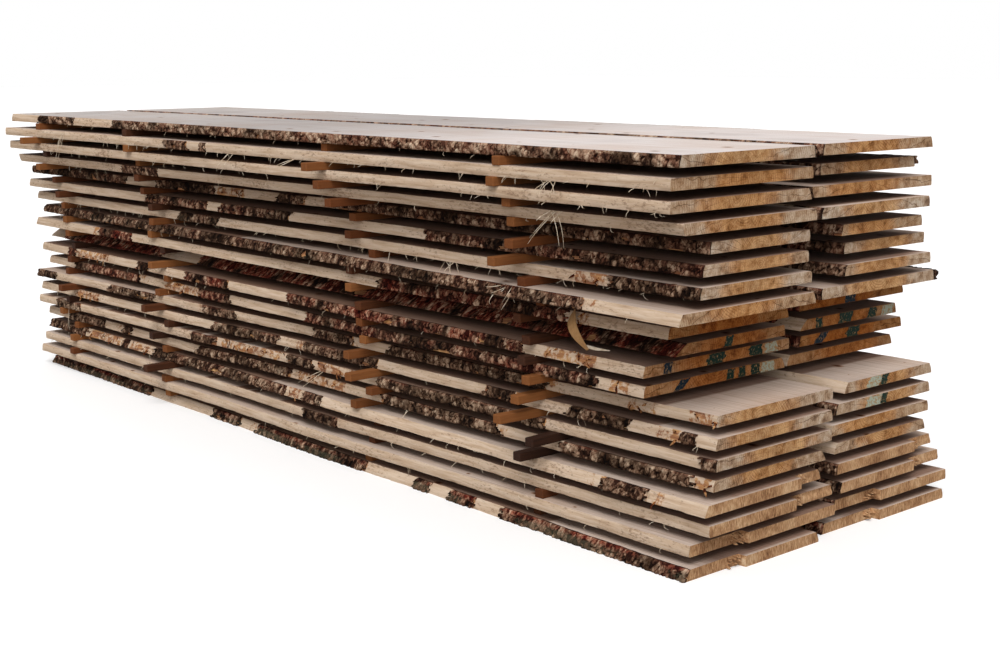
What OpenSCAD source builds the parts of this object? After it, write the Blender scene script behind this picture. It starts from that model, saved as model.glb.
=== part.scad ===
// Stack of unedged softwood boards laid up to dry: two columns of waney-edged
// boards on cross stickers, twenty layers high.
// Millimetres. +X runs along the boards, +Y across the stack, +Z up.
// The origin is on the floor, in the middle of the stack's footprint.

/* [Boards] */
// length the logs were cut to
board_length = 4000; // [2400:50:5200]
// thickness of a sawn board
board_thickness = 32; // [20:1:50]
// share of the tallied widths, for stacks sawn from slimmer or stouter logs
width_share = 1; // [0.7:0.05:1.1]
// how far a waney edge wanders from a straight line between its ends
edge_wander = 11; // [0:1:14]
// depth of the step left by the felling cut on the butt ends
felling_step = 28; // [10:1:60]

/* [Stickers] */
// height of a sticker, the air gap between two layers
sticker_height = 27; // [18:1:40]
// width of a sticker along the boards
sticker_width = 34; // [22:1:60]
// length a sticker is cut to
sticker_length = 1290; // [1200:10:1500]
// how far a sticker may lie from its column's line, or end from its nominal end
sticker_spread = 30; // [0:1:40]
// most a sticker lies askew in degrees
sticker_skew = 3; // [0:0.5:4]

/* [Hidden] */
// straight runs that a waney edge is cut into
edge_runs = 16;
// waste sawn off each end when a board is docked to length
docking = 5;
// one layer and the air gap under it
layer_pitch = board_thickness + sticker_height;

// Tally of the near column, top layer first, in mm at full width:
// front overhang, left and right edge at the front, left and right edge at the
// back, wane on the left and on the right, back overhang.
near_tally = [
    [15, -615, -58, -595, -75, 6, 4, 0],
    [0, -630, -45, -630, -70, 2, 4, -10],
    [0, -630, -47, -612, -65, 2, 15, 0],
    [5, -580, -30, -578, -60, -8, 6, -35],
    [-10, -460, -42, -497, -70, 2, 2, 20],
    [-10, -490, -41, -524, -65, 8, 2, 20],
    [-5, -505, -31, -484, -60, 6, 2, 20],
    [5, -596, -20, -470, -50, 14, 12, -10],
    [-110, -515, 5, -504, -40, 10, 10, 10],
    [-135, -455, 20, -432, -30, 48, 2, 20],
    [-190, -520, 112, -478, 60, 8, 2, 20],
    [-200, -508, 108, -462, 60, 8, 15, -15],
    [0, -432, 80, -511, 30, 2, 2, 0],
    [15, -452, 60, -501, 20, 8, 5, 0],
    [15, -447, 58, -512, 20, 4, 2, 0],
    [5, -450, 52, -475, 15, 7, 20, 0],
    [20, -500, 45, -477, 20, 16, 15, -15],
    [20, -480, 105, -496, 50, 2, 10, 0],
    [5, -510, 100, -508, 60, 4, 2, 20],
    [20, -542, 10, -465, -20, 18, 15, 0]
];

// Tally of the far column, in the same order.
far_tally = [
    [-10, 10, 556, -25, 520, 8, 12, 0],
    [-45, 46, 518, 0, 480, 2, 8, 5],
    [-20, -12, 572, -25, 540, -10, 3, 10],
    [5, -8, 530, -20, 500, 10, 5, -10],
    [-15, 117, 520, 60, 500, 6, 6, 0],
    [-40, 164, 573, 90, 540, 4, 2, 10],
    [-10, 133, 571, 80, 545, 10, 3, 20],
    [-15, 33, 600, 10, 560, 2, 4, -15],
    [-150, 107, 640, 60, 600, 10, 10, 5],
    [-145, 110, 595, 60, 560, 33, 8, 15],
    [-180, 152, 685, 110, 650, 4, 8, 10],
    [-205, 128, 670, 110, 640, 12, 12, -10],
    [-15, 160, 612, 90, 570, 18, 12, 0],
    [-15, 118, 608, 70, 570, 10, 8, 10],
    [-10, 100, 593, 60, 560, 2, 4, -10],
    [-15, 117, 592, 60, 560, 15, 12, 0],
    [0, 116, 650, 70, 600, 5, 10, 10],
    [5, 126, 685, 90, 640, 10, 2, 0],
    [10, 128, 685, 95, 650, 2, 2, -15],
    [15, 68, 664, 20, 620, 12, 6, 5]
];

// Felling steps: layer, near column step edge, far column step edge, and the
// side of that edge which is cut back.
felling_tally = [
    [17, -80, 515, 1],
    [18, -100, 508, 1],
    [19, -292, 328, -1],
    [20, -320, 318, -1]
];

layers = len(near_tally);

// Sticker columns: place along the boards as a share of half their length, and
// how far each sticker reaches past its nominal near end, top gap first.
sticker_places = [0.672, 0.245, -0.44, -0.85];
sticker_tally = [
    [-10, 3, -27, -54, -20, -23, -85, -132, -120, -107,
        -92, -97, -75, -35, -73, -88, -233, -145, -159],
    [-36, 60, 29, 3, -125, -115, -145, -109, -105, -113,
        -127, -130, -107, -62, -139, -135, -186, -167, -151],
    [-18, -6, -60, -45, -105, -90, -98, -127, -145, -95,
        -155, -136, -68, -125, -105, -155, -40, -135, -145],
    [-21, 45, -45, -35, -97, -75, -145, -135, -130, -165,
        -140, -150, -71, -120, -115, -145, -131, -125, -155]
];

longest_reach = max([for (row = sticker_tally) max(row)]);

// height of the underside of a layer, counted from the top
function layer_base(layer) = (layers - layer) * layer_pitch;

// gentle run of a waney edge, nothing at both ends
function wander(seed, share) =
    edge_wander * sin(180 * share)
    * (0.62 * sin(470 * share + 137 * seed) + 0.38 * sin(1130 * share + 71 * seed));

// boards sawn from one log run alike: four layers to a log
function log_of(layer) = floor((layer - 1) / 4);

function between(back, front, share) = back + (front - back) * share;

// node names carry the layer, counted from the top
function two_digits(number) = str(number < 10 ? "0" : "", number);
function near_name(layer) = str("near_board_", two_digits(layer));
function far_name(layer) = str("far_board_", two_digits(layer));
function stickers_name(column) = str("stickers_", column);

// Waney board lofted through its stations along the length, then docked square
// at both ends. The outer seed drives the outer edge, the layer's own seed both
// edges beside the flue.
module waney_board(row, left_seed, right_seed) {
    front_x = board_length / 2 + row[0];
    back_x = -board_length / 2 - row[7];
    stations = [
        for (k = [0:edge_runs])
            let (
                share = k / edge_runs,
                x = between(back_x - docking, front_x + docking, share),
                left = width_share * (between(row[3], row[1], share) + wander(left_seed, share)),
                right = width_share * (between(row[4], row[2], share) + wander(right_seed, share))
            )
            [
                [x, left, 0],
                [x, right, 0],
                [x, right - width_share * row[6], board_thickness],
                [x, left + width_share * row[5], board_thickness]
            ]
    ];
    points = [for (station = stations) for (corner = station) corner];
    last = edge_runs * 4;
    sides = [
        for (k = [0:edge_runs - 1])
            for (side = [0:3])
                let (
                    a = k * 4 + side,
                    b = k * 4 + (side + 1) % 4
                )
                each [[a, a + 4, b + 4], [a, b + 4, b]]
    ];
    back_end = [[0, 1, 2], [0, 2, 3]];
    front_end = [[last + 2, last + 1, last], [last + 3, last + 2, last]];
    intersection() {
        polyhedron(points = points, faces = concat(sides, back_end, front_end), convexity = 4);
        translate([back_x, -sticker_length, -1])
            cube([front_x - back_x, 2 * sticker_length, board_thickness + 2]);
    }
}

// Board with the felling cut's step taken off its front end.
module butt_board(row, left_seed, right_seed, step_edge, cut_side) {
    front_x = board_length / 2 + row[0];
    difference() {
        waney_board(row, left_seed, right_seed);
        translate([
            front_x - felling_step,
            width_share * step_edge - (cut_side > 0 ? 0 : sticker_length),
            -1
        ])
            cube([felling_step + docking, sticker_length, board_thickness + 2]);
    }
}

function felling_row(layer) = [for (cut = felling_tally) if (cut[0] == layer) cut];

module near_board(layer) {
    cut = felling_row(layer);
    row = near_tally[layer - 1];
    left_seed = log_of(layer) + 0.06 * layer;
    color("BurlyWood")
        translate([0, 0, layer_base(layer)])
            if (len(cut) > 0)
                butt_board(row, left_seed, 7 + layer, cut[0][1], cut[0][3]);
            else
                waney_board(row, left_seed, 7 + layer);
}

module far_board(layer) {
    cut = felling_row(layer);
    row = far_tally[layer - 1];
    right_seed = 3.4 + log_of(layer) + 0.06 * layer;
    color("Tan")
        translate([0, 0, layer_base(layer)])
            if (len(cut) > 0)
                butt_board(row, 7 + layer, right_seed, cut[0][2], cut[0][3]);
            else
                waney_board(row, 7 + layer, right_seed);
}

// One upright column of stickers, one in each gap between two layers.
module stickers(column) {
    place = sticker_places[column - 1] * board_length / 2;
    color("Sienna")
        for (gap = [1:layers - 1]) {
            reach = sticker_tally[column - 1][gap - 1];
            // the sticker that reaches furthest lies square and reaches as far on both sides
            longest = reach == longest_reach;
            far_reach = longest ? reach : sticker_spread * sin(211 * gap + 47 * column);
            skew = longest ? 0 : sticker_skew * sin(143 * gap + 83 * column);
            near_end = -width_share * (sticker_length / 2 + reach);
            far_end = width_share * (sticker_length / 2 + far_reach);
            shift = sticker_spread * sin(97 * gap + 61 * column);
            translate([place + shift, (near_end + far_end) / 2, layer_base(gap) - sticker_height])
                rotate([0, 0, skew])
                    translate([-sticker_width / 2, (near_end - far_end) / 2, 0])
                        cube([sticker_width, far_end - near_end, sticker_height]);
        }
}

// node to draw

for (layer = [1:layers])
    near_board(layer);

for (layer = [1:layers])
    far_board(layer);

for (column = [1:len(sticker_places)])
    stickers(column);
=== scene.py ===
# %% [markdown]
# # A stack of lumber
# Unedged boards lie in two columns on cross stickers, so that air can dry them.
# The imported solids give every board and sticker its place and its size. This
# lesson dresses them: each plain board is swapped for one with a natural edge,
# patches of bark, growth rings and saw marks, and each sticker for a worn lath.

# %% Load the solids
import math
import random

import bmesh
import bpy
import numpy as np
from mathutils import Matrix, Vector, noise


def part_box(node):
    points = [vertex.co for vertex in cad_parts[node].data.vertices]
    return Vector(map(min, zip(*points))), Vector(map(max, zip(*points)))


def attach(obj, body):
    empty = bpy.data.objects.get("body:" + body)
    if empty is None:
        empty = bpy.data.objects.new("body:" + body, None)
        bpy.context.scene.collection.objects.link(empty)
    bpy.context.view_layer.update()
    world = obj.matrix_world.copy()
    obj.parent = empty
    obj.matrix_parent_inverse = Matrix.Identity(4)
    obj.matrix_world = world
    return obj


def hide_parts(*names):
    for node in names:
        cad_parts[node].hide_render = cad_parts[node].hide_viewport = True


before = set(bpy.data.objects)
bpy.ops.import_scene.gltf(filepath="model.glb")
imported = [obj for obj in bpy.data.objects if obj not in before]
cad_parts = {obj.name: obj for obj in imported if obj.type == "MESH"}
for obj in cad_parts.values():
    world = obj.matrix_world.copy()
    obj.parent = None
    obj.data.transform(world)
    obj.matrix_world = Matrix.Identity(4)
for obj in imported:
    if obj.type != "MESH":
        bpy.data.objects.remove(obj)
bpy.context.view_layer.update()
scene = bpy.context.scene

# %% [markdown]
# ## Camera
# The stack is seen from the butt ends of the boards, a little above its top,
# at a height where a person stands. A camera turned in three plain steps keeps
# those facts readable: first the tilt of the picture, then the look down, then
# the turn towards the stack.

# %% Camera
camera_data = bpy.data.cameras.new("eye")
camera_data.sensor_width = 36
camera_data.lens = 54.53
camera_data.clip_end = 200
camera = bpy.data.objects.new("eye", camera_data)
turn = Matrix.Rotation(math.radians(48.636), 4, "Z")
look_down = Matrix.Rotation(math.radians(90 - 10.493), 4, "X")
tilt = Matrix.Rotation(math.radians(-0.334), 4, "Z")
eye_place = Matrix.Translation((4.588, -3.487, 1.4086))
camera.matrix_world = eye_place @ turn @ look_down @ tilt
scene.collection.objects.link(camera)
scene.camera = camera
print("camera stands at", [round(v, 2) for v in camera.matrix_world.translation])

# %% [markdown]
# ## Colours and nodes
# Colours are written as people read them, as sRGB hex values, and turned to
# the linear numbers that a shader needs. One helper adds a node, sets it up
# and links it, so that each finish below reads from top to bottom.

# %% Helpers for finishes
# specular level of dry bare wood, which hardly shines
BARE_WOOD_GLOSS = 0.08
# setting of a mix that lays a tint over a colour and so darkens it
TINT = {"blend_type": "MULTIPLY"}


def colour(hex_value):
    channels = [int(hex_value[i:i + 2], 16) / 255 for i in (1, 3, 5)]
    linear = [c / 12.92 if c <= 0.04045 else ((c + 0.055) / 1.055) ** 2.4 for c in channels]
    return (*linear, 1.0)


def feed(tree, node, inputs):
    """Sets inputs. Each is a plain value, another node's output, or a node for its first output."""
    for name, value in inputs.items():
        if isinstance(value, bpy.types.Node):
            value = value.outputs[0]
        if isinstance(value, bpy.types.NodeSocket):
            tree.links.new(value, node.inputs[name])
        else:
            node.inputs[name].default_value = value


def add(tree, kind, settings=None, inputs=None, stops=None):
    """Adds a shader node with its settings, its inputs and, on a colour ramp, its stops."""
    node = tree.nodes.new("ShaderNode" + kind)
    for name, value in (settings or {}).items():
        setattr(node, name, value)
    feed(tree, node, inputs or {})
    if stops:
        ramp = node.color_ramp.elements
        while len(ramp) < len(stops):
            ramp.new(1.0)
        for element, (place, hex_value) in zip(ramp, stops):
            element.position = place
            element.color = colour(hex_value)
    return node


def finish(name):
    """A new material with an empty principled shader."""
    material = bpy.data.materials.new(name)
    material.use_nodes = True
    tree = material.node_tree
    print("finish", name)
    return material, tree, tree.nodes["Principled BSDF"]

# %% [markdown]
# ## Softwood
# All faces of a board are cuts through one log, so all of them are coloured
# from one solid pattern: the distance from the heart of the log, which is kept
# on every board as the attribute "heart", measured in log radii. Rings of it
# make arcs on an end and long streaks on a face, without any seam between.

# %% Growth rings for every cut through the log
RINGS_IN_A_LOG = 34


def log_pattern(tree):
    """Object coordinates, heart distance, rings from 0 to 1 and the board's own tone."""
    place = add(tree, "TexCoord").outputs["Object"]
    heart = add(tree, "Attribute", {"attribute_name": "heart"}).outputs["Vector"]
    tone = add(tree, "Attribute", {"attribute_name": "tone"}).outputs["Fac"]
    slow = add(tree, "Mapping", inputs={"Vector": place, "Scale": (0.9, 9.0, 14.0)})
    drift = add(tree, "TexNoise", inputs={"Vector": slow, "Scale": 1.0, "Detail": 3.0})
    flat = add(tree, "VectorMath", {"operation": "MULTIPLY"}, {0: heart, 1: (0.0, 1.0, 1.0)})
    radius = add(tree, "VectorMath", {"operation": "LENGTH"}, {0: flat})
    # rings wander by an eighth of the log's radius at most
    bent = add(tree, "Math", {"operation": "MULTIPLY_ADD"},
               {0: drift, 1: 0.12, 2: radius.outputs["Value"]})
    phase = add(tree, "Math", {"operation": "MULTIPLY"}, {0: bent, 1: RINGS_IN_A_LOG})
    ring = add(tree, "Math", {"operation": "FRACT"}, {0: phase})
    return place, heart, bent, ring, tone


print("ring width on a 0.5 m log", round(250 / RINGS_IN_A_LOG, 1), "mm")

# %% [markdown]
# ## Rough sawn face
# Pine or spruce straight off the band saw, a few weeks dry. It is a pale tan
# inside the stack and bleached to a greyish pink on its top, with weak rings,
# streaks along the grain, small dark knots, and fine marks across the board
# where the blade went through. Dry bare wood has no gloss, so the roughness is
# high and the marks are kept to the bump. An attribute is 0 on an underside and
# where a face is covered, both darkened by painted shade, 0.5 in the open and 1 where it is bleached.

# %% Rough sawn face
# in metres, from one mark of the saw to the next
SAW_MARK_SPACING = 0.0138
sawn_face, tree, shader = finish("rough_sawn_softwood")
place, _, _, ring, tone = log_pattern(tree)
along = add(tree, "Mapping", inputs={"Vector": place, "Scale": (3.0, 130.0, 130.0)})
fibre = add(tree, "TexNoise", inputs={"Vector": along, "Scale": 1.0, "Detail": 4.0})
cloud = add(tree, "TexNoise", inputs={"Vector": place, "Scale": 2.6, "Detail": 5.0})
painted_shade_and_bleach = add(tree, "Attribute", {"attribute_name": "weathering_and_painted_shade"}).outputs["Fac"]
fresh = add(tree, "ValToRGB", inputs={"Fac": fibre},
            stops=[(0.28, "#bba592"), (0.5, "#cdb9a9"), (0.72, "#d6c6b9")])
old = add(tree, "ValToRGB", inputs={"Fac": fibre},
          stops=[(0.28, "#cdc1ba"), (0.5, "#ded6d3"), (0.72, "#e8e2e1")])
# the top is greyer over its rear half, from 2 m behind the middle to 1 m in front of it
place_parts = add(tree, "SeparateXYZ", inputs={0: place})
forward = add(tree, "MapRange", inputs={0: place_parts.outputs["X"], 1: -2.0, 2: 2.0})
rear_grey = add(tree, "ValToRGB", inputs={"Fac": forward},
           stops=[(0.2, "#dcdddd"), (0.48, "#cdcecf"), (0.64, "#e2e2e2"), (0.8, "#ffffff")])
rear_greyed = add(tree, "MixRGB", TINT, {"Fac": 1.0, "Color1": old, "Color2": rear_grey})
# painted shade: undersides and tops covered by a board above are multiplied by the brown #98775c, while
# faces in the open keep the fresh colour
out_of_painted_shade = add(tree, "MapRange", inputs={0: painted_shade_and_bleach, 1: 0.0, 2: 0.5, 3: 0.0, 4: 1.0})
bleached = add(tree, "MapRange", inputs={0: painted_shade_and_bleach, 1: 0.5, 2: 1.0, 3: 0.15, 4: 1.0})
damp_and_painted_shade = add(tree, "MixRGB", TINT, {"Fac": 1.0, "Color1": fresh, "Color2": colour("#98775c")})
dried_and_painted_shade = add(tree, "MixRGB", inputs={"Fac": out_of_painted_shade, "Color1": damp_and_painted_shade, "Color2": fresh})
base = add(tree, "MixRGB", inputs={"Fac": bleached, "Color1": dried_and_painted_shade, "Color2": rear_greyed})
late = add(tree, "ValToRGB", inputs={"Fac": ring},
           stops=[(0.0, "#ffffff"), (0.55, "#fbf8f5"), (0.9, "#e4d8ce"), (1.0, "#ffffff")])
stain = add(tree, "ValToRGB", inputs={"Fac": cloud},
            stops=[(0.3, "#f6ebe2"), (0.55, "#ffffff"), (0.75, "#e6e4e4")])
# knots from 2 to 14 mm across, at most one in each cell of 0.25 by 0.2 m
board_shift = add(tree, "VectorMath", {"operation": "SCALE"}, {0: (17.3, 9.1, 0.0), "Scale": tone})
knot_place = add(tree, "VectorMath", {"operation": "MULTIPLY_ADD"},
                 {0: place, 1: (4.0, 5.0, 0.0), 2: board_shift})
knot_cell = add(tree, "TexVoronoi", {"voronoi_dimensions": "2D"},
                {"Vector": knot_place, "Scale": 1.0, "Randomness": 1.0})
knot_deal = add(tree, "SeparateXYZ", inputs={0: knot_cell.outputs["Color"]})
knot_size = add(tree, "MapRange", inputs={0: knot_deal.outputs["X"], 1: 0.35, 2: 1.0, 3: 0.2, 4: 1.6})
knot_reach = add(tree, "Math", {"operation": "DIVIDE", "use_clamp": True},
                 {0: knot_cell.outputs["Distance"], 1: knot_size})
knot = add(tree, "ValToRGB", inputs={"Fac": knot_reach},
           stops=[(0.0, "#4a3020"), (0.018, "#6d4a33"), (0.03, "#c9a98f"), (0.06, "#ffffff")])
for strength, tint in ((0.7, late), (0.8, stain), (1.0, knot)):
    base = add(tree, "MixRGB", TINT, {"Fac": strength, "Color1": base, "Color2": tint})
# saw marks across the board, bent a little by the feed; a wave of scale 1 repeats every tau / 20 m
saw = add(tree, "TexWave", {"bands_direction": "X"},
          {"Vector": place, "Scale": math.tau / 20 / SAW_MARK_SPACING,
           "Distortion": 3.0, "Detail": 2.0, "Detail Scale": 0.4})
rough_height = add(tree, "Math", {"operation": "MULTIPLY_ADD"},
                   {0: fibre, 1: 0.8, 2: saw.outputs["Fac"]})
bump = add(tree, "Bump", inputs={"Height": rough_height, "Strength": 0.35, "Distance": 0.0012})
feed(tree, shader, {"Base Color": base, "Normal": bump, "Roughness": 0.82,
                    "Specular IOR Level": BARE_WOOD_GLOSS})

# %% [markdown]
# ## Bare waney edge
# Where the bark came off, the edge shows the skin of the log: smooth tan
# sapwood with long streaks, brown flecks where bark clung, and orange stains
# of inner bark. The attribute "stain" says where on an edge those stains lie.

# %% Bare waney edge
bare_edge, tree, shader = finish("debarked_sapwood_edge")
place = add(tree, "TexCoord").outputs["Object"]
stain_here = add(tree, "Attribute", {"attribute_name": "stain"}).outputs["Fac"]
along = add(tree, "Mapping", inputs={"Vector": place, "Scale": (7.0, 60.0, 110.0)})
streak = add(tree, "TexNoise", inputs={"Vector": along, "Scale": 1.0, "Detail": 5.0, "Roughness": 0.65})
skin = add(tree, "ValToRGB", inputs={"Fac": streak},
           stops=[(0.25, "#a3886f"), (0.42, "#c1a78d"), (0.58, "#cfb9a2"), (0.8, "#dac8b4")])
# brown flecks about 7 mm high and 17 mm long
fleck_map = add(tree, "Mapping", inputs={"Vector": place, "Scale": (60.0, 120.0, 150.0)})
fleck = add(tree, "TexNoise",
            inputs={"Vector": fleck_map, "Scale": 1.0, "Detail": 3.0, "Roughness": 0.7})
fleck_area = add(tree, "TexNoise", inputs={"Vector": place, "Scale": 4.5, "Detail": 2.0})
fleck_sum = add(tree, "Math", {"operation": "MULTIPLY_ADD"}, {0: fleck_area, 1: 0.45, 2: fleck})
fleck_mask = add(tree, "ValToRGB", inputs={"Fac": fleck_sum},
                 stops=[(0.8, "#000000"), (0.92, "#c8c8c8")])
flecked = add(tree, "MixRGB", inputs={"Fac": fleck_mask, "Color1": skin, "Color2": colour("#6e4d38")})
# inner bark left in spots of about 24 mm
stain_noise = add(tree, "TexNoise",
                  inputs={"Vector": place, "Scale": 42.0, "Detail": 5.0, "Roughness": 0.65})
stain_sum = add(tree, "Math", {"operation": "ADD"}, {0: stain_here, 1: stain_noise})
stain_mask = add(tree, "ValToRGB", inputs={"Fac": stain_sum},
                 stops=[(0.74, "#000000"), (0.82, "#e8e8e8")])
stain_colour = add(tree, "ValToRGB", inputs={"Fac": streak},
                   stops=[(0.3, "#3f1a0c"), (0.44, "#7a3b16"), (0.56, "#a96d30"), (0.7, "#c49657")])
edged = add(tree, "MixRGB", inputs={"Fac": stain_mask, "Color1": flecked, "Color2": stain_colour})
bump = add(tree, "Bump", inputs={"Height": streak, "Strength": 0.3, "Distance": 0.003})
feed(tree, shader, {"Base Color": edged, "Normal": bump, "Roughness": 0.78,
                    "Specular IOR Level": BARE_WOOD_GLOSS})

# %% [markdown]
# ## Cross-cut end
# A cut end shows the rings as arcs, an orange heart inside greyer sapwood, and
# drying cracks that run outwards from the heart. The cracks are drawn from the
# angle around the heart, so that they always point to it.

# %% Cross-cut end
end_grain, tree, shader = finish("cross_cut_end_grain")
place, heart, radius, ring, tone = log_pattern(tree)
split = add(tree, "SeparateXYZ", inputs={0: heart})
blotch = add(tree, "TexNoise",
             inputs={"Vector": place, "Scale": 22.0, "Detail": 5.0, "Roughness": 0.62})
uneven = add(tree, "Mix", inputs={"Factor": 0.4, "A": radius, "B": blotch})
zone = add(tree, "ValToRGB", inputs={"Fac": uneven},
           stops=[(0.25, "#c6a47c"), (0.42, "#d6b082"), (0.54, "#cdad8c"), (0.62, "#d0c3b3")])
late = add(tree, "ValToRGB", inputs={"Fac": ring},
           stops=[(0.0, "#ffffff"), (0.5, "#f6efe6"), (0.86, "#a98258"), (1.0, "#f6efe6")])
ring_fade = add(tree, "ValToRGB", inputs={"Fac": blotch}, stops=[(0.36, "#303030"), (0.62, "#d8d8d8")])
angle = add(tree, "Math", {"operation": "ARCTAN2"}, {0: split.outputs["Z"], 1: split.outputs["Y"]})
crook = add(tree, "TexNoise", inputs={"Vector": place, "Scale": 30.0, "Detail": 2.0})
bent_angle = add(tree, "Math", {"operation": "MULTIPLY_ADD"}, {0: crook, 1: 0.12, 2: angle})
spoke = add(tree, "TexVoronoi", {"voronoi_dimensions": "1D", "feature": "DISTANCE_TO_EDGE"},
            {"W": bent_angle, "Scale": 6.0})
broken = add(tree, "TexNoise", inputs={"Vector": place, "Scale": 16.0, "Detail": 1.0})
crack_sum = add(tree, "Math", {"operation": "MULTIPLY_ADD"},
                {0: broken, 1: -0.05, 2: spoke.outputs["Distance"]})
crack = add(tree, "ValToRGB", inputs={"Fac": crack_sum}, stops=[(0.0, "#6e4a2e"), (0.006, "#ffffff")])
grit = add(tree, "TexNoise", inputs={"Vector": place, "Scale": 260.0, "Detail": 3.0})
grit_tone = add(tree, "ValToRGB", inputs={"Fac": grit}, stops=[(0.3, "#c8b8a8"), (0.55, "#ffffff")])
# weathered grey and brown patches about 30 mm across
weather = add(tree, "TexNoise",
              inputs={"Vector": place, "Scale": 34.0, "Detail": 4.0, "Roughness": 0.6})
weather_tone = add(tree, "ValToRGB", inputs={"Fac": weather},
                   stops=[(0.3, "#83644b"), (0.44, "#d8c6b4"), (0.6, "#ffffff")])
board_tone = add(tree, "ValToRGB", inputs={"Fac": tone},
                 stops=[(0.0, "#dba86f"), (0.35, "#f4e3cf"), (1.0, "#ffffff")])
base = zone
tints = ((ring_fade, late), (0.6, crack), (0.7, grit_tone), (0.85, weather_tone), (1.0, board_tone))
for strength, tint in tints:
    base = add(tree, "MixRGB", TINT, {"Fac": strength, "Color1": base, "Color2": tint})
bump = add(tree, "Bump", inputs={"Height": grit, "Strength": 0.5, "Distance": 0.002})
feed(tree, shader, {"Base Color": base, "Normal": bump, "Roughness": 0.85,
                    "Specular IOR Level": BARE_WOOD_GLOSS})

# %% [markdown]
# ## Chainsawn butt end
# The lowest boards still show the felling cut. A chainsaw leaves upright
# stripes and torn fibres, and hides the rings.

# %% Chainsawn butt end
felled_end, tree, shader = finish("chainsawn_butt_end")
place = add(tree, "TexCoord").outputs["Object"]
# stripes about 3 mm wide and 17 mm high
upright = add(tree, "Mapping", inputs={"Vector": place, "Scale": (30.0, 300.0, 60.0)})
stripe = add(tree, "TexNoise",
             inputs={"Vector": upright, "Scale": 1.0, "Detail": 4.0, "Roughness": 0.7})
blotch = add(tree, "TexNoise", inputs={"Vector": place, "Scale": 14.0, "Detail": 4.0})
stripe_sum = add(tree, "Mix", inputs={"Factor": 0.35, "A": stripe, "B": blotch})
striped = add(tree, "ValToRGB", inputs={"Fac": stripe_sum},
              stops=[(0.34, "#6a4630"), (0.45, "#a57b57"), (0.53, "#c59b72"), (0.64, "#dfc19d")])
bump = add(tree, "Bump", inputs={"Height": stripe, "Strength": 0.8, "Distance": 0.004})
feed(tree, shader, {"Base Color": striped, "Normal": bump, "Roughness": 0.88,
                    "Specular IOR Level": BARE_WOOD_GLOSS})

# %% [markdown]
# ## Bark
# Pine bark is a layer of plates with dark furrows between them, red-brown
# where it is thin and grey-brown where it is old, with some green lichen. The
# plates are real relief on the mesh, which also keeps four numbers for the
# finish in the attribute "bark": the height of the relief, the plate's own
# shade, how much lichen there is and how red the bark is.

# %% Bark
bark_skin, tree, shader = finish("plated_pine_bark")
place = add(tree, "TexCoord").outputs["Object"]
kept = add(tree, "Attribute", {"attribute_name": "bark"})
redness = kept.outputs["Alpha"]
relief_shade_lichen = add(tree, "SeparateXYZ", inputs={0: kept.outputs["Vector"]})
# scales about 8 mm across
scale_noise = add(tree, "TexNoise",
                  inputs={"Vector": place, "Scale": 120.0, "Detail": 5.0, "Roughness": 0.62})
# flakes about 9 mm wide and 16 mm high, pulled out of line by a slow wander
wander = add(tree, "TexNoise", inputs={"Vector": place, "Scale": 45.0, "Detail": 3.0})
pulled = add(tree, "VectorMath", {"operation": "MULTIPLY_ADD"},
             {0: wander.outputs["Color"], 1: (0.02, 0.0, 0.02), 2: place})
flake_place = add(tree, "Mapping", inputs={"Vector": pulled, "Scale": (1 / 0.009, 0.0, 1 / 0.016)})
flake_shade = add(tree, "TexVoronoi", inputs={"Vector": flake_place, "Scale": 1.0})
flake_grey = add(tree, "SeparateXYZ", inputs={0: flake_shade.outputs["Color"]})
flake_gap = add(tree, "TexVoronoi", {"feature": "DISTANCE_TO_EDGE"},
                {"Vector": flake_place, "Scale": 1.0})
flaked = add(tree, "Mix", inputs={"Factor": 0.34, "A": scale_noise, "B": flake_grey.outputs["X"]})
shade_sum = add(tree, "Mix", inputs={"Factor": 0.6, "A": relief_shade_lichen.outputs["Y"], "B": flaked})
grey_plate = add(tree, "ValToRGB", inputs={"Fac": shade_sum},
                 stops=[(0.34, "#2a1d15"), (0.43, "#624c3b"), (0.52, "#8d7560"),
                        (0.6, "#b29a82"), (0.72, "#c9b59d")])
red_plate = add(tree, "ValToRGB", inputs={"Fac": shade_sum},
                stops=[(0.34, "#36100c"), (0.43, "#6d2b20"), (0.51, "#945843"),
                       (0.6, "#bd957b"), (0.72, "#d6baa2")])
# patches about a hand wide, redder where the outer scales are lost and dark where they are damp
patch = add(tree, "TexNoise", inputs={"Vector": place, "Scale": 9.0, "Detail": 3.0, "Roughness": 0.6})
redder = add(tree, "MapRange", inputs={0: patch, 1: 0.38, 2: 0.64, 3: 0.2, 4: 1.7})
red_here = add(tree, "Math", {"operation": "MULTIPLY", "use_clamp": True}, {0: redness, 1: redder})
dry_plate = add(tree, "MixRGB", inputs={"Fac": red_here, "Color1": grey_plate, "Color2": red_plate})
damp_and_painted_shade = add(tree, "ValToRGB", inputs={"Fac": patch},
           stops=[(0.36, "#70625a"), (0.5, "#ffffff"), (0.62, "#ffffff"), (0.75, "#9a7f76")])
furrow = add(tree, "ValToRGB", inputs={"Fac": relief_shade_lichen.outputs["X"]},
             stops=[(0.08, "#2c1a13"), (0.28, "#8c7668"), (0.5, "#ffffff")])
gap_tone = add(tree, "ValToRGB", inputs={"Fac": flake_gap.outputs["Distance"]},
               stops=[(0.0, "#2a1610"), (0.06, "#927d70"), (0.14, "#ffffff")])
base = dry_plate
for strength, tint in ((1.0, damp_and_painted_shade), (0.92, furrow), (0.45, gap_tone)):
    base = add(tree, "MixRGB", TINT, {"Fac": strength, "Color1": base, "Color2": tint})
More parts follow.
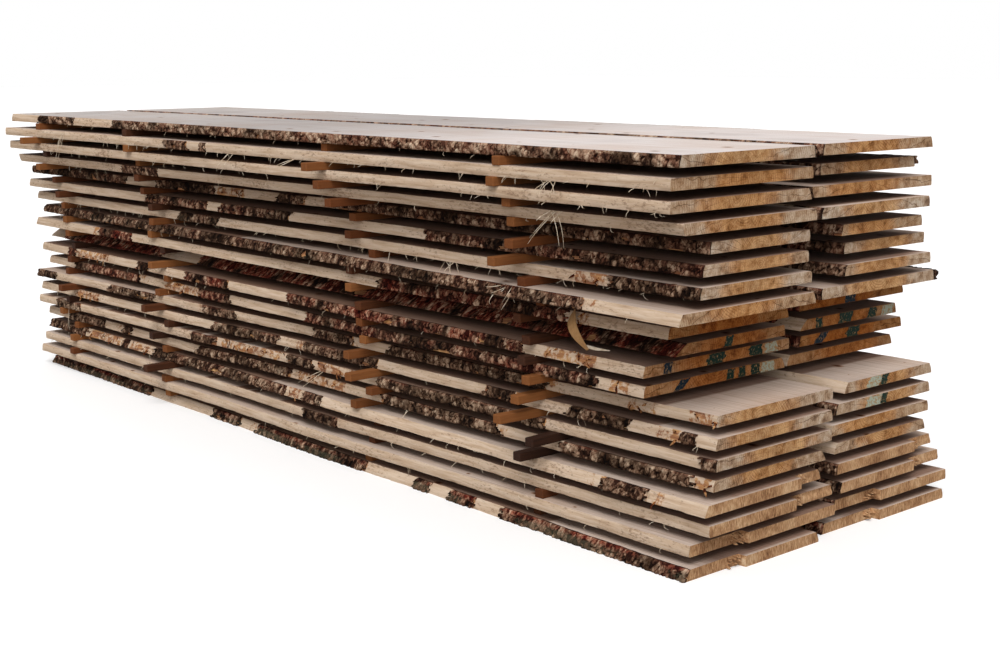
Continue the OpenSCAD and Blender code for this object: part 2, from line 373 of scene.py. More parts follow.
# lichen in spots of about 7 mm
lichen_noise = add(tree, "TexNoise",
                   inputs={"Vector": place, "Scale": 150.0, "Detail": 4.0, "Roughness": 0.65})
lichen_sum = add(tree, "Math", {"operation": "MULTIPLY"},
                 {0: lichen_noise, 1: relief_shade_lichen.outputs["Z"]})
lichen_mask = add(tree, "ValToRGB", inputs={"Fac": lichen_sum},
                  stops=[(0.42, "#000000"), (0.58, "#909090")])
lichened = add(tree, "MixRGB", inputs={"Fac": lichen_mask, "Color1": base, "Color2": colour("#605f4c")})
bump = add(tree, "Bump", inputs={"Height": scale_noise, "Strength": 0.5, "Distance": 0.003})
feed(tree, shader, {"Base Color": lichened, "Normal": bump, "Roughness": 0.92,
                    "Specular IOR Level": 0.06})

# %% [markdown]
# ## Reading the boards
# Every board of the frame is a loft with four corners at each station along
# its length. Reading those corners back gives the run of both edges, top and
# bottom, so a dressed board always follows its solid, whatever its size.

# %% Edges of every board, read from its solid
# how far back a felling cut goes, and the length of board that it disturbs
FELLING_STEP, STEP_ZONE = 0.028, 0.04


def read_board(name):
    """A board's box, the y of its four arrises at each station, and its felling step."""
    corners = np.array([v.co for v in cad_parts[name].data.vertices])
    low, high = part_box(name)
    middle = (low[2] + high[2]) / 2
    rows = []
    for x in np.unique(np.round(corners[:, 0], 3)):
        ring = corners[np.abs(corners[:, 0] - x) < 0.001]
        under = ring[ring[:, 2] < middle][:, 1]
        over = ring[ring[:, 2] > middle][:, 1]
        rows.append((x, under.min(), under.max(), over.min(), over.max()))
    rows = np.array(rows)
    step = None
    if rows[-1, 2] - rows[-1, 1] < 0.8 * (rows[-4, 2] - rows[-4, 1]):
        # the felling cut took part of the front end away: the edges run on as before it
        right_is_cut = abs(rows[-1, 1] - rows[-4, 1]) < abs(rows[-1, 2] - rows[-4, 2])
        edge = rows[-1, 2] if right_is_cut else rows[-1, 1]
        step = {"edge": edge, "side": 1 if right_is_cut else -1, "depth": FELLING_STEP}
        rows = rows[rows[:, 0] < high[0] - STEP_ZONE]
        slope = (rows[-1, 1:] - rows[-2, 1:]) / (rows[-1, 0] - rows[-2, 0])
        front = rows[-1, 1:] + slope * (high[0] - rows[-1, 0])
        rows = np.vstack([rows, [high[0], *front]])
    number = int(name[-2:])
    return {"name": name, "layer": number, "low": low, "high": high, "rows": rows, "step": step,
            "seed": number + (0 if name.startswith("near") else 40)}


board_names = [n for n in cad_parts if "board" in n]
boards = {name: read_board(name) for name in sorted(board_names)}
print(len(boards), "boards;", sum(1 for b in boards.values() if b["step"]), "with a felling step")

# %% [markdown]
# ## Run of a natural edge
# The solid's edge is a chain of straight runs. A tree has no straight runs, so
# the dressed edge bulges like the log it came from, wanders by a few
# millimetres over each hand's breadth, and is a little rough.

# %% Run of a natural edge
SIDES = {"left": -1, "right": 1}
# in metres: the bulge between the two faces, the slow run of the edge, its roughness, its chips
BULGE, RUN, ROUGH, CHIP = 0.002, 0.006, 0.0018, 0.005


def edge_y(board, side, x, up):
    """Y of a waney edge at x, from 0 at the board's underside to 1 at its top."""
    rows = board["rows"]
    column = 1 if side == "left" else 2
    under = np.interp(x, rows[:, 0], rows[:, column])
    over = np.interp(x, rows[:, 0], rows[:, column + 2])
    seed = board["seed"] * 3.1 + (0.0 if side == "left" else 50.0)
    bulge = BULGE * 4 * up * (1 - up)
    run = RUN * noise.noise(Vector((x * 4.0, seed, 0.0)))
    rough = ROUGH * noise.noise(Vector((x * 34.0, seed, up * 2.0)))
    chipped = 0.0
    if up < 0.01 or up > 0.99:
        chipped = -CHIP * max(0.0, noise.noise(Vector((x * 21.0, seed, up * 9.0 + 4.0))))
    return under + (over - under) * up + SIDES[side] * (bulge + run + rough + chipped)


print("left edge of near board 1, y at x 1.9:", round(edge_y(boards["near_board_01"], "left", 1.9, 0.5), 4))

# %% [markdown]
# ## Where bark is left
# Some edges kept their bark for metres and others lost all of it. Each entry
# is a stretch of bark along a board, in metres. The near edges face the
# viewer, so they are listed one by one; the others are dealt out by chance.

# %% Stretches of bark
# a little past the ends of the longest board
PAST_END = 2.1
# where the bark of the far column's outer edge stops, and where it starts again on two boards
OUTER_STOP, BUTT_START = 1.6, 1.8
NEAR_BARK = {
    1: [(-1.75, -1.36), (-1.07, 2.1)],
    2: [(-0.59, -0.37), (-0.31, -0.25)],
    4: [(-1.02, -0.68)],
    5: [(-2.1, -1.12), (-0.93, -0.44), (-0.06, 0.16), (0.28, 2.1)],
    6: [(-0.97, -0.45), (-0.41, 0.1), (0.81, 2.1)],
    7: [(-0.77, -0.42), (1.64, 2.1)],
    8: [(-2.1, 1.66)],
    9: [(-1.43, -1.09), (0.58, 1.52)],
    10: [(-1.9, -0.97), (-0.73, 2.1)],
    11: [(-1.77, -1.66), (-1.14, -0.98), (-0.72, -0.34), (0.02, 1.34)],
    12: [(-1.74, -1.1), (-0.65, -0.36), (0.11, 1.64)],
    13: [(-2.1, -1.8), (-1.36, -0.93), (-0.6, -0.33), (0.12, 0.41), (0.56, 1.38)],
    14: [(-0.54, -0.05), (0.06, 0.55), (1.05, 1.24), (1.43, 1.73), (1.88, 1.96)],
    15: [(-1.84, -1.57), (-0.69, -0.46), (-0.04, 0.17), (0.50, 1.38), (1.94, 2.1)],
    16: [(-1.8, -1.42), (-1.31, -1.19), (-0.69, 0.0), (0.5, 1.16), (1.38, 1.95)],
    17: [(-2.1, -1.6), (-1.3, -1.22), (-1.04, 0.02), (0.08, 0.25), (1.59, 1.82)],
    18: [(0.1, 0.36)],
    20: [(-2.1, -1.02), (-0.57, -0.3), (-0.23, 0.54), (0.76, 0.89), (0.94, 1.12), (1.19, 2.1)],
}
# stretches of bare edge that kept shreds of orange inner bark
NEAR_INNER_BARK = {
    5: [(-0.44, -0.26)],
    7: [(1.52, 1.64)],
    9: [(1.54, 1.6)],
    11: [(-1.66, -1.38), (1.4, 1.62)],
    12: [(-0.91, -0.69), (1.66, 1.74)],
    13: [(1.68, 1.78), (1.9, 2.0)],
    14: [(-1.69, -1.45), (1.8, 1.9)],
    15: [(-0.46, -0.05), (0.17, 0.39)],
    16: [(0.02, 0.32), (1.94, 2.0)],
    17: [(-1.6, -1.3), (-1.22, -1.04), (0.0, 0.08), (1.83, 1.87)],
}


def dealt_bark(seed):
    """Stretches of bark dealt out along an edge that is not set out by hand."""
    deal = random.Random(seed)
    stretches = []
    x = -PAST_END + deal.uniform(0.0, 1.0)
    while x < 2.0:
        length = deal.uniform(0.25, 1.5)
        stretches.append((x, x + length))
        x += length + deal.uniform(0.15, 1.4)
    return stretches


def bark_of(board, side):
    if side == "left" and board["name"].startswith("near"):
        return NEAR_BARK.get(board["layer"], [])
    if (board["name"], side) in (("near_board_01", "right"), ("far_board_01", "left")):
        return [(-PAST_END, PAST_END)]
    stretches = dealt_bark(board["seed"] * 7 + (side == "right"))
    if side == "right":
        # the outer edge of the far column is bare at the butt end, but for two boards
        stretches = [(a, min(b, OUTER_STOP)) for a, b in stretches if a < OUTER_STOP - 0.2]
        if board["name"] in ("far_board_08", "far_board_02"):
            stretches.append((BUTT_START, PAST_END))
    return stretches


print("bark on the near edges", round(sum(b - a for s in NEAR_BARK.values() for a, b in s), 1), "m")

# %% [markdown]
# ## One dressed board
# A board starts as a cube, cut into a fine grid and then pulled to shape. The
# grid is fine along the edges, which are seen closely, and coarse across the
# faces, which are flat. Faces are told apart while the cube is still square:
# sawn faces above and below, waney edges left and right, cut ends.

# %% Shape of a board
# the grid's step along a board in metres, and its cuts up an edge and across a face
STEP_LENGTH = 0.016
EDGE_LEVELS = 4
FACE_STRIPS = 3
FACE, EDGE, END, BARK = range(4)
# how ragged the wall of a felling step is, in metres
TORN = 0.003


def unit_block(mesh, along):
    """A cube from 0 to 1, cut into a grid, with its three kinds of face marked."""
    bmesh.ops.create_cube(mesh, size=1.0, matrix=Matrix.Translation((0.5, 0.5, 0.5)))
    for axis, cuts in ((0, along), (1, FACE_STRIPS), (2, EDGE_LEVELS)):
        lines = [e for e in mesh.edges if abs(e.verts[0].co[axis] - e.verts[1].co[axis]) > 1e-6]
        bmesh.ops.subdivide_edges(mesh, edges=lines, cuts=cuts, use_grid_fill=True)
    mesh.normal_update()
    for face in mesh.faces:
        lengths = [abs(part) for part in face.normal]
        face.material_index = (END, EDGE, FACE)[lengths.index(max(lengths))]
        face.smooth = face.material_index == EDGE


def shape_board(mesh, board):
    """Pulls the unit block to the board's own edges."""
    low, high = board["low"], board["high"]
    along = int((high[0] - low[0]) / STEP_LENGTH)
    unit_block(mesh, along)
    edges = {}
    for vert in mesh.verts:
        u, v, w = vert.co
        x = low[0] + u * (high[0] - low[0])
        key = (round(u, 5), round(w, 5))
        if key not in edges:
            edges[key] = [edge_y(board, side, x, w) for side in ("left", "right")]
        left, right = edges[key]
        vert.co = (x, left + (right - left) * v, low[2] + w * (high[2] - low[2]))


def cut_step(mesh, board):
    """Takes the felling cut's step off the front end."""
    step, front = board["step"], board["high"][0]
    wall = front - step["depth"]
    for offset in (0.0, TORN * step["side"]):
        everything = mesh.verts[:] + mesh.edges[:] + mesh.faces[:]
        bmesh.ops.bisect_plane(mesh, geom=everything, dist=1e-5,
                               plane_co=(0, step["edge"] + offset, 0), plane_no=(0, 1, 0))
    for vert in mesh.verts:
        beyond = (vert.co.y - step["edge"]) * step["side"]
        ragged = TORN * noise.noise(Vector((vert.co.y * 40, vert.co.z * 60, board["seed"])))
        if beyond > 0.002 and vert.co.x > wall + ragged:
            vert.co.x = wall + ragged
    bmesh.ops.remove_doubles(mesh, verts=mesh.verts[:], dist=0.0004)


print("grid of a board", int(4 / STEP_LENGTH), "by", FACE_STRIPS + 1, "by", EDGE_LEVELS + 1)

# %% [markdown]
# ## Bark as a layer with relief
# A patch of bark is a grid laid on the edge. Cells outside the ragged outline
# are deleted, the rest is extruded outwards, and the new skin is pushed out by
# the height of its plates. Cell noise gives both the plates and the furrows.

# %% Plates of bark
# cells of the bark's grid in metres, on the edges that are seen closely and on the others
NEAR_CELL, HIDDEN_CELL = 0.005, 0.009
# plates in metres: their width, their width where furrows slant steeply, their height, and the
# height over which a furrow slants by one plate
PLATE_WIDTH, SLANTED_WIDTH, PLATE_HEIGHT, SLANT_HEIGHT = 0.019, 0.03, 0.024, 0.02
# thickness in metres: the bark's root in the wood, its base, a plate, a pale plate's extra, grit
BARK_ROOT, BARK_BASE, PLATE, PALE_PLATE, GRIT = 0.002, 0.004, 0.006, 0.003, 0.0015
# for a layer: how red its bark is, how much lichen, how far its furrows slant, how pale it is
BARK_KIND = {
    1: (0.25, 0.1, 1.0, 0.16), 5: (0.2, 0.7, 0.3, 0.0), 6: (0.35, 0.5, 0.3, 0.0),
    7: (0.1, 1.1, 0.2, 0.0), 8: (0.15, 0.7, 0.2, 0.0), 9: (0.6, 0.1, 0.1, 0.0),
    10: (1.0, 0.1, 0.4, 0.0), 11: (0.6, 0.1, 0.1, 0.0), 12: (0.45, 0.3, 0.1, 0.0),
    13: (0.1, 0.4, 0.1, 0.04), 14: (0.1, 0.3, 0.1, 0.04), 15: (0.05, 0.5, 0.1, 0.04),
    16: (0.1, 0.4, 0.1, 0.06), 20: (0.25, 1.6, 0.2, -0.02),
}
USUAL_BARK = (0.15, 0.3, 0.2, 0.0)
# edges where the bark is the thick bark of a butt log, and how many times thicker it is
THICK_BARK = {("far_board_02", "right"): 2.0, ("far_board_08", "right"): 2.6}
# the saw cut through the bark shows its red inside: where that rim starts, from 0 at the underside
# to 1 at the top, and how red it is
RIM = {20: (0.62, 0.7)}
USUAL_RIM = (0.8, 0.35)


def plates(x, z, seed, slant):
    """Height from 0 in a furrow to 1 on a plate, and the plate's own shade."""
    drift = 0.35 * noise.noise(Vector((x * 30.0, z * 30.0, seed)))
    width = SLANTED_WIDTH if slant > 0.9 else PLATE_WIDTH
    spot = Vector((x / width + slant * z / SLANT_HEIGHT + drift, z / PLATE_HEIGHT + drift, seed))
    distances, centres = noise.voronoi(spot)
    height = min(1.0, (distances[1] - distances[0]) * 4.5)
    return height, 0.36 + 0.28 * noise.cell(centres[0] * 5.3)


print("bark plates", PLATE_WIDTH * 1000, "mm wide")

# %% Bark on one edge
def lay_bark(mesh, board, side, start, end, layers):
    """A stretch of bark on one edge: a ragged grid, grown outwards, with plates on its skin."""
    low, high = board["low"], board["high"]
    front = high[0]
    if board["step"] and board["step"]["side"] == SIDES[side]:
        front -= board["step"]["depth"]
    start, end = max(start, low[0]), min(end, front)
    redness, mossy, slant, paler = BARK_KIND.get(board["layer"], USUAL_BARK)
    if end - start < 0.02:
        return
    outer_edge = side == "left" and board["name"].startswith("near")
    if not outer_edge:
        mossy *= 0.4
    cell = NEAR_CELL if outer_edge else HIDDEN_CELL
    thicker = THICK_BARK.get((board["name"], side), 1.0)
    columns, levels = max(2, int((end - start) / cell)), 7 if outer_edge else 4
    grid = bmesh.ops.create_grid(mesh, x_segments=columns, y_segments=levels, size=0.5)
    verts = grid["verts"]
    seed = board["seed"] * 1.7 + (9.0 if side == "right" else 0.0)
    faces = list(dict.fromkeys(f for v in verts for f in v.link_faces))
    trim = min(0.03, 0.2 * (end - start))
    outside = []
    for face in faces:
        middle = face.calc_center_median()
        x = start + (middle.x + 0.5) * (end - start)
        up = middle.y + 0.5
        ragged = noise.noise(Vector((up * 2.2, seed, start)))
        ragged = trim * (ragged + 0.5 * noise.noise(Vector((up * 7.0, seed, end))))
        lost = noise.noise(Vector((x * 16.0, up * 1.4, seed))) - 0.35 * up
        behind = x < start + trim + ragged and start > low[0]
        ahead = x > end - trim + ragged and end < front
        if behind or ahead or lost > 0.42:
            outside.append(face)
    for vert in verts:
        x = start + (vert.co.x + 0.5) * (end - start)
        up = vert.co.y + 0.5
        y = edge_y(board, side, x, up) - SIDES[side] * BARK_ROOT
        vert.co = (x, y, low[2] + up * (high[2] - low[2]))
    bmesh.ops.delete(mesh, geom=outside, context="FACES")
    skin = [f for f in faces if f.is_valid]
    if not skin:
        return
    grown = bmesh.ops.extrude_face_region(mesh, geom=skin, use_keep_orig=True)
    outer = [g for g in grown["geom"] if isinstance(g, bmesh.types.BMVert)]
    rim_start, rim_red = RIM.get(board["layer"], USUAL_RIM)
    for vert in outer:
        height, shade = plates(vert.co.x, vert.co.z, seed, slant)
        shade += paler
        grit = noise.noise(Vector((vert.co.x * 150, vert.co.z * 150, seed)))
        thickness = BARK_BASE + PLATE * height + PALE_PLATE * shade + GRIT * grit
        vert.co.y += SIDES[side] * thicker * thickness
        lichen = mossy * (0.7 + 0.9 * noise.noise(Vector((vert.co.x * 3.0, seed * 2.0, 1.0))))
        up = (vert.co.z - low[2]) / (high[2] - low[2])
        rim = min(1.0, max(0.0, (up - rim_start) * 6.0))
        height += (1.0 - height) * 0.7 * rim
        lichen = max(0.0, lichen * (1.0 - rim))
        vert[layers["bark"]] = (height, shade, lichen, max(redness, rim_red * rim))
    for vert in {v for f in skin for v in f.verts}:
        vert[layers["bark"]] = (0.15, 0.3, 0.0, redness)
    body = list(dict.fromkeys([f for v in outer for f in v.link_faces] + skin))
    for face in body:
        face.material_index = BARK
        face.smooth = True
    bmesh.ops.recalc_face_normals(mesh, faces=body)


print("bark relief drawn every", NEAR_CELL * 1000, "mm")

# %% [markdown]
# ## All forty boards
# The last step keeps what the finishes read: the place around the heart of
# the log, a tone of its own for each board, how bleached a face is and where
# it gets painted shade, and the orange stains beside bark. Four boards in a row
# came from one log, so their hearts lie at one height.

# %% What a place on a board looks like
# how much inner bark shows under bark, and on the bare stretches that kept it
UNDER_BARK, ON_BARE_EDGE = 0.6, 0.29
# its reach beside bark, at most, and how fast it fades along the board
BESIDE_BARK, FADE = 0.3, 3.0


def stain_at(board, side, x):
    """Inner bark is left under the bark, in shreds beside it, and in a few other places."""
    stain = 0.0
    for start, end in bark_of(board, side):
        if start + 0.035 < x < end - 0.035:
            return UNDER_BARK
        for stop in (start, end):
            reach = BESIDE_BARK * noise.cell(Vector((stop * 91.0, board["seed"], 0.5)))
            stain = max(stain, reach - abs(x - stop) * FADE)
    if side == "left" and board["name"].startswith("near"):
        for start, end in NEAR_INNER_BARK.get(board["layer"], []):
            if start < x < end:
                stain = max(stain, ON_BARE_EDGE)
    return stain


def shade_and_weathering_at(board, x, y, z):
    """0 below the top face and where one of the two boards above covers it, which the finish darkens as
    painted shade; 0.5 in the open, 1 on top of the stack.
    """
    if z < board["high"][2] - 0.001:
        return 0.0
    if board["layer"] == 1:
        return 1.0
    for layer in range(max(1, board["layer"] - 2), board["layer"]):
        above = boards["%s_%02d" % (board["name"][:-3], layer)]
        rows = above["rows"]
        left = np.interp(x, rows[:, 0], rows[:, 1])
        right = np.interp(x, rows[:, 0], rows[:, 2])
        if above["low"][0] < x < above["high"][0] and left < y < right:
            return 0.0
    return 0.5


print("shreds of inner bark on", len(NEAR_INNER_BARK), "near edges")

# %% All boards
# what a board's mesh keeps for its finishes
KEPT = {"heart": "float_vector", "tone": "float", "stain": "float", "weathering_and_painted_shade": "float",
        "bark": "float_color"}
BOARDS_IN_A_LOG = 4
# in metres, a board and the saw cut beside it
SAWN_PITCH = 0.036
# layers of the third log down, which is the most orange at its heart
ORANGE_LOG = range(9, 13)


def make_object(name, mesh, materials):
    """Turns a finished mesh into an object of the scene."""
    data = bpy.data.meshes.new(name)
    mesh.to_mesh(data)
    mesh.free()
    for material in materials:
        data.materials.append(material)
    item = bpy.data.objects.new(name, data)
    scene.collection.objects.link(item)
    return item


def dress_board(board):
    """A board with natural edges, bark and all that its finishes read."""
    mesh = bmesh.new()
    layers = {name: getattr(mesh.verts.layers, kind).new(name) for name, kind in KEPT.items()}
    shape_board(mesh, board)
    if board["step"]:
        cut_step(mesh, board)
    deal = random.Random(board["seed"])
    low, high = board["low"], board["high"]
    radius = (high[1] - low[1]) / 2
    in_log = (board["layer"] - 1) % BOARDS_IN_A_LOG - (BOARDS_IN_A_LOG - 1) / 2
    heart_y = (low[1] + high[1]) / 2 + deal.uniform(-0.05, 0.05)
    heart_z = (low[2] + high[2]) / 2 + in_log * SAWN_PITCH + deal.uniform(-0.02, 0.02)
    tone = deal.uniform(0.0, 0.15) if board["layer"] in ORANGE_LOG else deal.uniform(0.3, 1.0)
    for vert in mesh.verts:
        x, y, z = vert.co
        vert[layers["heart"]] = (x, (y - heart_y) / radius, (z - heart_z) / radius)
        vert[layers["tone"]] = tone
        # undersides and covered tops get 0 here, which the sawn finish turns into painted shade
        vert[layers["weathering_and_painted_shade"]] = shade_and_weathering_at(board, x, y, z)
        vert[layers["stain"]] = stain_at(board, "left" if y < heart_y else "right", x)
    for side in SIDES:
        for start, end in bark_of(board, side):
            lay_bark(mesh, board, side, start, end, layers)
    for line in mesh.edges:
        # arrises between two kinds of face stay sharp
        line.smooth = len({f.material_index for f in line.link_faces}) == 1
    end = felled_end if board["step"] else end_grain
    piece = make_object(board["name"] + "_sawn", mesh, (sawn_face, bare_edge, end, bark_skin))
    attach(piece, "root")
    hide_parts(board["name"])
    return piece


board_pieces = [dress_board(board) for board in boards.values()]
print(len(board_pieces), "boards,", sum(len(p.data.polygons) for p in board_pieces), "faces")

# %% [markdown]
# ## Stickers
# The cross laths are offcuts that have been used many times: some fresh and
# orange, some nearly black with age. Each is a bar with worn, rounded arrises,
# made from a cube by a bevel, and its place is read from its solid.

# %% Sticker finish
sticker_wood, tree, shader = finish("weathered_sticker_lath")
place = add(tree, "TexCoord").outputs["Object"]
age = add(tree, "Attribute", {"attribute_name": "age"}).outputs["Fac"]
along = add(tree, "Mapping", inputs={"Vector": place, "Scale": (160.0, 8.0, 160.0)})
grain = add(tree, "TexNoise", inputs={"Vector": along, "Scale": 1.0, "Detail": 4.0, "Roughness": 0.6})
aged = add(tree, "Mix", inputs={"Factor": 0.22, "A": age, "B": grain})
lath = add(tree, "ValToRGB", inputs={"Fac": aged},
           stops=[(0.08, "#b08a5e"), (0.3, "#8c5a33"), (0.55, "#673a20"),
                  (0.75, "#402619"), (0.92, "#211612")])
bump = add(tree, "Bump", inputs={"Height": grain, "Strength": 0.5, "Distance": 0.002})
feed(tree, shader, {"Base Color": lath, "Normal": bump, "Roughness": 0.75, "Specular IOR Level": 0.1})

# %% Stickers
# width of a worn arris in metres
LATH_WORN = 0.0022
# how old each lath of the front two columns looks, from 0 to 1, from the top gap down
LATH_YEARS = {
    "stickers_1": (0.4, 0.36, 0.4, 0.34, 0.5, 0.36, 0.6, 0.6, 0.75, 0.8,
                   0.85, 0.35, 0.3, 0.34, 0.95, 0.95, 0.7, 0.7, 0.75),
    "stickers_2": (0.45, 0.4, 0.5, 0.55, 0.5, 0.6, 0.6, 0.75, 0.3, 0.7,
                   0.5, 0.3, 0.42, 0.34, 0.5, 0.45, 0.75, 0.75, 0.4),
}
# ages dealt out to the laths of the other two
DEALT_YEARS = (0.3, 0.45, 0.6, 0.7, 0.8, 0.9)


def sticker_bars(name):
    """The height and the corners of every lath's underside and top, from the lowest lath up."""
    corners = np.array([v.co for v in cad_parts[name].data.vertices])
    bars = []
    for base in np.unique(np.round(corners[:, 2], 4)):
        ring = corners[np.abs(corners[:, 2] - base) < 1e-4][:, :2]
        ring = np.unique(np.round(ring, 5), axis=0)
        bars.append((base, ring[np.argsort(ring[:, 1])]))
    return list(zip(bars[0::2], bars[1::2]))


def lay_stickers(name):
    """A column of laths with worn arrises, each in the place of its solid."""
    mesh = bmesh.new()
    age = mesh.verts.layers.float.new("age")
    deal = random.Random(name)
    bars = sticker_bars(name)
    dealt = [deal.choice(DEALT_YEARS) for _ in bars]
    years_down = LATH_YEARS.get(name, dealt)
    for gap, ((under, ring), (over, _)) in enumerate(reversed(bars)):
        near, far = ring[:2].mean(axis=0), ring[2:].mean(axis=0)
        width = np.linalg.norm(ring[0] - ring[1])
        length = np.linalg.norm(far - near)
        made = bmesh.ops.create_cube(mesh, size=1.0)["verts"]
        lines = list(dict.fromkeys(e for v in made for e in v.link_edges))
        bmesh.ops.scale(mesh, verts=made, vec=(width, length, over - under))
        worn = bmesh.ops.bevel(mesh, geom=lines, offset=LATH_WORN, affect="EDGES",
                               segments=2, profile=0.5, material=-1)
        verts = list(dict.fromkeys(v for f in worn["faces"] for v in f.verts))
        turn_by = -math.atan2(far[0] - near[0], far[1] - near[1])
        middle = (near + far) / 2
        place_at = Matrix.Translation((*middle, (under + over) / 2))
        turned = Matrix.Rotation(turn_by, 4, "Z")
        bmesh.ops.transform(mesh, matrix=place_at @ turned, verts=verts)
        for vert in verts:
            vert[age] = years_down[gap % len(years_down)]
    piece = make_object(name + "_laths", mesh, [sticker_wood])
    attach(piece, "root")
    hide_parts(name)
    return piece


laths = [lay_stickers(n) for n in sorted(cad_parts) if n.startswith("stickers")]
print(len(laths), "columns of stickers,", sum(len(p.data.polygons) for p in laths), "faces")

# %% [markdown]
# ## Torn fibres
# Where the saw or the debarker tore the edge, pale fibres hang from it. Each
# fibre is a thin strip swept along a bent line. Tufts of long ones hang where
# they are seen most, and short ones are dealt out along the bare edges. The
# same strips make the shreds of inner bark, the splinters of the felling cuts
# and one wide curl.

# %% Finishes of what is torn
torn_fibre, tree, shader = finish("torn_wood_fibre")
place = add(tree, "TexCoord").outputs["Object"]
patch = add(tree, "TexNoise", inputs={"Vector": place, "Scale": 60.0, "Detail": 3.0})
pale_wood = add(tree, "ValToRGB", inputs={"Fac": patch},
                stops=[(0.3, "#b39b7c"), (0.5, "#d6c6ae"), (0.7, "#e4d9c8")])
feed(tree, shader, {"Base Color": pale_wood, "Roughness": 0.8,
                    "Specular IOR Level": BARE_WOOD_GLOSS})

# inner bark is orange when fresh and dark red-brown where it has dried, in spots of about 10 mm
inner_bark, tree, shader = finish("torn_inner_bark")
place = add(tree, "TexCoord").outputs["Object"]
spot = add(tree, "TexNoise", inputs={"Vector": place, "Scale": 95.0, "Detail": 3.0, "Roughness": 0.6})
dried_and_painted_shade = add(tree, "ValToRGB", inputs={"Fac": spot},
            stops=[(0.42, "#35140b"), (0.5, "#75401f"), (0.58, "#ac7d50"), (0.7, "#cdb08c")])
feed(tree, shader, {"Base Color": dried_and_painted_shade, "Roughness": 0.8,
                    "Specular IOR Level": BARE_WOOD_GLOSS})

# %% Strips
FIBRE, SPLINTER, SHRED, CURL = range(4)
SHREDS_PER_METRE = 35
SHORT_FIBRES = 420
SPLINTERS_IN_A_STEP = 14
# layers with bare edges to hang short fibres on; those named twice get twice as many
FIBRE_LAYERS = (1, 2, 2, 3, 3, 4, 7, 7, 8, 11, 14, 17, 18, 19)
# tufts of long fibres: the board, the place along it in metres, whether they hang from its lower
# or its upper arris (0 or 1), and for each fibre its lean along the board and its drop in cm
TUFTS = [
    (2, 1.55, 0, [(3, 4), (-2, 3), (-1, 5)]),
    (4, 1.55, 1, [(-9, 9), (5, 9), (-3, 4)]),
    (8, 1.32, 1, [(-5, 7), (-6, 2), (-3, 4)]),
    (7, 0.97, 0, [(-2, 4), (4, 4), (2, 3)]),
    (7, 0.65, 0, [(0, 6)]),
    (2, 0.33, 0, [(-8, 3)]),
    (2, -0.09, 0, [(-6, 6)]),
    (2, -1.42, 1, [(-5, 13), (-2, 8)]),
    (14, -1.71, 1, [(0, 18)]),
    (16, 0.7, 0, [(-4, 7)]),
    (15, 0.19, 0, [(-12, 7)]),
]


def sweep_strip(mesh, points, width, thick, finish_index=FIBRE):
    """A closed strip along a line of points, flat to the viewer and pointed at its end."""
    rings = []
    for number, point in enumerate(points):
        ahead = points[min(number + 1, len(points) - 1)] - points[max(number - 1, 0)]
        across = ahead.cross(Vector((0, 1, 0))).normalized()
        narrow = 1.0 - 0.8 * (number / (len(points) - 1)) ** 3
        half = across * width / 2 * narrow
        depth = Vector((0, thick / 2, 0))
        corners = (half + depth, half - depth, -half - depth, -half + depth)
        rings.append([mesh.verts.new(point + corner) for corner in corners])
    for one, two in zip(rings, rings[1:]):
        for k in range(4):
            mesh.faces.new((one[k], one[(k + 1) % 4], two[(k + 1) % 4], two[k]))
    mesh.faces.new(rings[0][::-1])
    mesh.faces.new(rings[-1])
    for face in {f for ring in rings for v in ring for f in v.link_faces}:
        face.material_index = finish_index


def bent_line(start, end, sag, bits=6):
    """Points from start to end that bow outwards and sideways by the sag."""
    line = []
    for k in range(bits + 1):
        t = k / bits
        bow = 4 * t * (1 - t) * sag
        line.append(start.lerp(end, t) + Vector((bow, -abs(bow) * 0.6, bow * 0.5)))
    return line


def throw(*ranges):
    """A vector drawn by chance, each part from its own range."""
    return Vector([deal.uniform(*reach) for reach in ranges])


print(len(TUFTS), "tufts of long fibres")

# %% Torn fibres
fibre_mesh = bmesh.new()
deal = random.Random(5)
for layer, x, up, fibres in TUFTS:
    board = boards["near_board_%02d" % layer]
    arris = Vector((x, edge_y(board, "left", x, up) - 0.004, board["high" if up else "low"][2]))
    for lean, drop in fibres:
        for strand in range(2):
            top = arris + Vector((deal.uniform(-0.03, 0.03), 0.0, 0.0))
            spread = throw((-0.008, 0.008), (-0.022, -0.014), (-0.01, 0.01))
            tip = top + spread + Vector((lean / 100, 0.0, -drop / 100))
            line = bent_line(top, tip, deal.uniform(-0.018, 0.018))
            sweep_strip(fibre_mesh, line, deal.uniform(0.0012, 0.0024), 0.0008)
for number in range(SHORT_FIBRES):
    board = boards["near_board_%02d" % deal.choice(FIBRE_LAYERS)]
    x = deal.uniform(board["low"][0] + 0.02, board["high"][0] - 0.02)
    up = deal.choice((0.0, 0.0, 0.15, 1.0))
    start = Vector((x, edge_y(board, "left", x, up) + 0.001, board["low"][2] + up * 0.03))
    fall = throw((-0.02, 0.02), (-0.008, -0.001), (-0.022, -0.006))
    line = bent_line(start, start + fall, deal.uniform(-0.006, 0.006), 3)
    sweep_strip(fibre_mesh, line, deal.uniform(0.0007, 0.0016), 0.0006)
# a wide curl that came off the ninth board's edge and hangs 10 cm down, and a splinter at its foot
curl_top = Vector((1.524, -0.512, 0.679))
curl = [curl_top + Vector((0.066 * t, -0.03 * math.sin(t * 3.0), -0.1 * t ** 1.3))
        for t in np.linspace(0, 1, 9)]
sweep_strip(fibre_mesh, curl, 0.04, 0.002, CURL)
foot = Vector((1.57, -0.512, 0.588))
loose = [foot, foot + Vector((0.05, 0.0, -0.002)), foot + Vector((0.1, 0.002, 0.0))]
sweep_strip(fibre_mesh, loose, 0.009, 0.004)
print("tufts, short fibres and the curl", len(fibre_mesh.faces), "faces")

